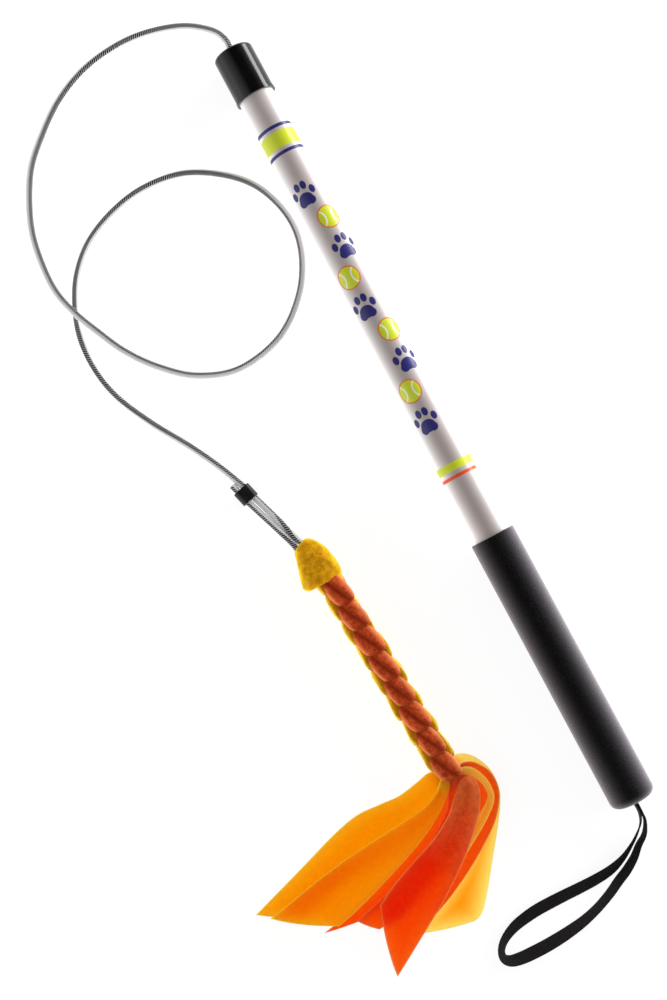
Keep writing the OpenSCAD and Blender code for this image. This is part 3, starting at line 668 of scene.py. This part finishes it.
def make_tail(number, left, right, root, tip, arch, tilt, wave, finish, slot_name):
    """One free tail: the strip between two curved edges, falling from the braid to the floor, arched
    across near the braid as far as it is wide, tilted, with slow waves along it and a slightly bowed end;
    its two faces stand a cloth's thickness apart along the strip's own normal and close in a quarter round
    at the cut edges."""
    n, m = 110, 31
    fall_l, full_w, tilt_l, arch_l, wave_l, edge_l = 150.0, 13.0, 60, 45, 30, 2.4
    flat = ((0, 0), (0, 1))
    edges = [evenly(np.pad(through(np.array(e, float), 12), flat), n)[0][:, :2] for e in (left, right)]
    v = (1 - np.cos(np.pi * np.linspace(0, 1, m))) / 2
    plan = edges[0][:, None] * (1 - v[:, None]) + edges[1][:, None] * v[:, None]
    width = np.linalg.norm(edges[0] - edges[1], axis=1)[:, None]
    middle, s = evenly(np.pad((edges[0] + edges[1]) / 2, flat), n)
    bow = 0.05 * width[-1] * (np.linspace(0, 1, n)[:, None] ** 10) * 4 * v * (1 - v)
    plan = plan + bow[..., None] * unit(middle[-1, :2] - middle[-6, :2])
    far = np.linalg.norm(plan, axis=-1)
    fall = np.clip(far / fall_l, 0, 1)
    ease = fall**2 * (3 - 2 * fall)
    full = np.clip(width / full_w, 0, 1)
    z = root + (tip - root) * ease + tilt * (v - 0.5) * np.exp(-far / tilt_l)
    z = z + full * arch * 4 * v * (1 - v) * np.exp(-far / arch_l)
    grow = 1 - np.exp(-far / wave_l)
    height, period, skew, start = wave
    z = z + height * grow * np.sin(2 * np.pi * (far / period + skew * v) + start)
    z = np.maximum(z, LURE_FLOOR + 0.25 + FLEECE_T / 2)
    mid = np.concatenate([plan + (0, TAIL_TOP), z[..., None]], -1)
    normal = unit(np.cross(np.gradient(mid, axis=1), np.gradient(mid, axis=0)))
    normal = normal * np.sign(normal[..., 2:3])
    edge = np.minimum(np.minimum(v, 1 - v) * width, (s[-1] - s)[:, None])
    near = 1 - np.clip(edge / edge_l, 0, 1)
    inset = (FLEECE_T / 2 * np.sqrt(1 - near**2))[..., None]
    grid = np.concatenate([mid + inset * normal, (mid - inset * normal)[:, ::-1]], 1)
    lay = np.stack([edge, np.broadcast_to(s[:, None], edge.shape)], -1)
    lay = np.concatenate([lay, lay[:, ::-1], lay[:, :1]], 1)
    made = piece(f"fleece_tail_{number}", placed(grid, LURE_TURN), finish, closed=True, ends=True, uv=lay)
    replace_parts(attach(made, "lure"), f"tail_{number}")


set_camera()
make_cord(cord_finish())
make_strap(webbing_finish())

# Fleece tones: dark, middle and bright; the dark one mottles with the middle and is painted shade, the bright
# one painted highlight
YELLOW = ((0.46, 0.19, 0.002), (0.95, 0.45, 0.004), (1.0, 0.66, 0.03))
ORANGE = ((0.3, 0.024, 0.004), (0.86, 0.115, 0.025), (1.0, 0.31, 0.12))
# A lit copy of the yellow: a darker dark tone for painted shade and a paler bright tone for painted rim light
GOLD = ((0.4, 0.13, 0.002), (0.95, 0.45, 0.004), (1.0, 0.74, 0.08))
# A lit copy of the orange, brighter throughout, painted for the top of a tail that lies uppermost
ORANGE_LIT = ((0.48, 0.045, 0.005), (1.0, 0.19, 0.03), (1.0, 0.4, 0.13))
# A lit copy of the yellow, painted paler, for two yellow tails
YELLOW_LIT = ((0.8, 0.4, 0.01), (1.0, 0.6, 0.03), (1.0, 0.74, 0.14))
# Light through one layer: in the middle of a strip and at its cut edges, where it is paler as a painted glow
GOLD_LIGHT = ((1.0, 0.55, 0.01), (1.0, 0.84, 0.26))
PALE_LIGHT = ((1.0, 0.53, 0.016), (1.0, 0.98, 0.5))
RED_LIGHT = ((1.0, 0.26, 0.0), (1.0, 0.5, 0.2))
yellow_hood = fleece("golden fleece, hood", YELLOW, hood_shade)
yellow_lobe = fleece("golden fleece, plaited", GOLD, rim_shade)
orange_lobe = fleece("orange fleece, plaited", ORANGE, lobe_shade)
yellow_strip = fleece("golden fleece, single", YELLOW, strip_shade(14.0, 0.92), GOLD_LIGHT)
# Painted light: a paler lit copy of the single yellow fleece, with a wider painted edge highlight
yellow_strip_lit = fleece("golden fleece, single, painted paler", YELLOW_LIT, strip_shade(10.0, 0.94, 24.0, 0.85, 0.0), PALE_LIGHT)
# Painted light: the folded yellow uses the same paler lit copy
yellow_fold = fleece("golden fleece, folded", YELLOW_LIT, strip_shade(10.0, 0.9, 8.0, 0.7), PALE_LIGHT)
orange_strip = fleece("orange fleece, single", ORANGE, strip_shade(14.0, 0.92), RED_LIGHT)
# Painted light: a brighter lit copy of the orange, with painted shade over its long gathered root
orange_top = fleece("orange fleece, folded", ORANGE_LIT, strip_shade(75.0, 0.9), RED_LIGHT)

make_hood(yellow_hood)
make_braid("braid_front", "strand_front", 97, 0.03, 5.0, 8.2, 5.0, orange_lobe)
make_braid("braid_right", "strand_right", 0, 0.66, 5.2, 5.6, 5.0, yellow_lobe, tuck=3.4)
make_braid("braid_back", "strand_back", 270, 0.03, 4.4, 7.6, 4.4, orange_lobe)
make_braid("braid_left", "strand_left", 180, 0.66, 7.2, 5.6, 5.0, yellow_lobe)

# Each tail: left and right edges from the braid's end, heights at the braid and at the tip, arch, tilt, waves
# (height, length, skew across the strip, start), finish and slot
TAILS = [
    ([(-5, 4), (-9, 9), (-14.5, 10.4), (-23, 9.4), (-39, 8.5), (-53, 11), (-72, 14), (-94, 11.5), (-120, 6),
      (-169, -4)],
     [(-1.8, -2.6), (-4.5, -6), (-10, -9), (-24, -13), (-48, -15), (-80, -16.5), (-108, -19), (-141, -24)],
     -7.9, -8.45, 4.0, 0.0, (0.5, 60, 0.6, 0.0), yellow_strip, "fleece_yellow"),
    ([(-7, 4), (-11, 1), (-17, -3.2), (-29, -7), (-49, -7), (-77, -6), (-107, -6.5), (-161, -11)],
     [(-3, 1), (-4.5, -3), (-9.5, -8), (-22, -16), (-47, -26), (-82, -35), (-108, -40), (-124, -42)],
     4.1, -1.7, 5.0, -2.0, (0.7, 75, 0.5, 1.0), yellow_strip, "fleece_yellow"),
    ([(5, 1), (10, 2), (15.5, 0), (20.5, -8), (21, -19), (17, -30), (5, -42), (-12, -51.5), (-35, -62),
      (-58, -70), (-82, -78)],
     [(3, 7), (8.5, 10.5), (15.5, 8), (21.5, 0.5), (25, -11), (24, -23), (19.5, -33), (9, -46), (-5, -61),
      (-25, -82), (-36, -91.5), (-43, -93.5)],
     -7.9, -8.45, 1.5, 2.0, (0.4, 70, 0.4, 2.0), yellow_strip_lit, "fleece_yellow"),
    ([(4.5, -2), (7.6, -4.2), (12.4, -9.6), (14.8, -19), (12.2, -26.6), (0, -33), (-14, -39), (-28, -46),
      (-42, -55)],
     [(6, 2), (11, 1), (16, -4), (19, -14), (18, -25), (13, -32), (1, -39.5), (-13, -46), (-36, -56.5)],
     2.0, -3.95, 2.5, 3.0, (0.3, 60, 0.3, 0.5), yellow_fold, "fleece_yellow"),
    ([(5.4, -5.2), (1.4, -6.4), (-2.6, -9.4), (-8.5, -13.5), (-17, -20), (-34, -28), (-55, -33.5), (-75, -39),
      (-92, -45.5)],
     [(6.2, -5.2), (10, -6.2), (12.3, -10), (11.6, -15), (8, -23), (-1.5, -34), (-20, -48.5), (-42, -62),
      (-61, -72), (-109.5, -93.5)],
     4.1, -1.7, 8.0, 0.0, (0.8, 80, 0.5, 0.3), orange_top, "fleece_orange"),
    ([(-8.2, 0), (-11, -7), (-22, -15.6), (-47, -25), (-80, -33.6), (-108, -38.8), (-136, -41)],
     [(-3, 0), (-5, -10), (-14, -23), (-36, -35), (-64, -43), (-92, -48), (-111, -48)],
     -3.9, -6.2, 2.0, 0.0, (0.4, 60, 0.3, 2.5), orange_strip, "fleece_orange"),
    ([(-7, 0), (-9.5, -8), (-19, -19), (-42, -31), (-68, -39), (-92, -43.5), (-112, -46)],
     [(8, 1), (11.4, -5.4), (13.6, -11), (14.9, -19), (12.3, -26.8), (0, -33.2), (-15, -39.4), (-32, -46),
      (-55, -53), (-80, -60), (-102, -60)],
     0.1, -3.95, 2.0, 0.0, (0.4, 60, 0.3, 0.8), orange_strip, "fleece_orange"),
    ([(6, -0.5), (10.5, -0.5), (15, -5), (17.8, -14), (16.8, -24.5), (11.5, -31), (-1, -38), (-15, -45),
      (-33, -55.5), (-56, -64.5)],
     [(7.5, 3), (12.5, 3), (18.5, -1), (24, -12), (23.4, -23), (19, -32), (8, -43), (-9, -53), (-28, -62),
      (-48, -69.5), (-68, -75)],
     -3.9, -6.2, 2.0, 2.0, (0.4, 60, 0.3, 1.5), orange_strip, "fleece_orange"),
]
for number, spec in enumerate(TAILS, 1):
    make_tail(number, *spec)

# Finishes of the solids that stay
steel = plain_finish("plain steel", (0.42, 0.42, 0.43), (0.6, 0.6, 0.61), 0.35, 200.0, metallic=1.0)
vinyl = plain_finish("black dipped vinyl", (0.0012, 0.001, 0.0014), (0.003, 0.0027, 0.0033), 0.16, 80.0)
plug = plain_finish("black plug plastic", (0.02, 0.02, 0.02), (0.035, 0.035, 0.035), 0.5, 150.0)
knot = plain_finish("knotted cord", (0.4, 0.39, 0.37), (0.66, 0.65, 0.62), 0.8, 600.0)
sleeve = plain_finish("black pressed sleeve", (0.003, 0.0028, 0.0034), (0.008, 0.0075, 0.009), 0.38, 300.0)
for node, finish in (
    ("pole_tube", tube_finish()), ("tip_cap", vinyl), ("foam_grip", foam_finish()), ("end_plug", plug),
    ("stop_washer", steel), ("strap_pin", steel), ("cord_knot", knot), ("crimp_sleeve", sleeve),
):
    nodes[node].data.materials.clear()
    nodes[node].data.materials.append(finish)

set_stage()
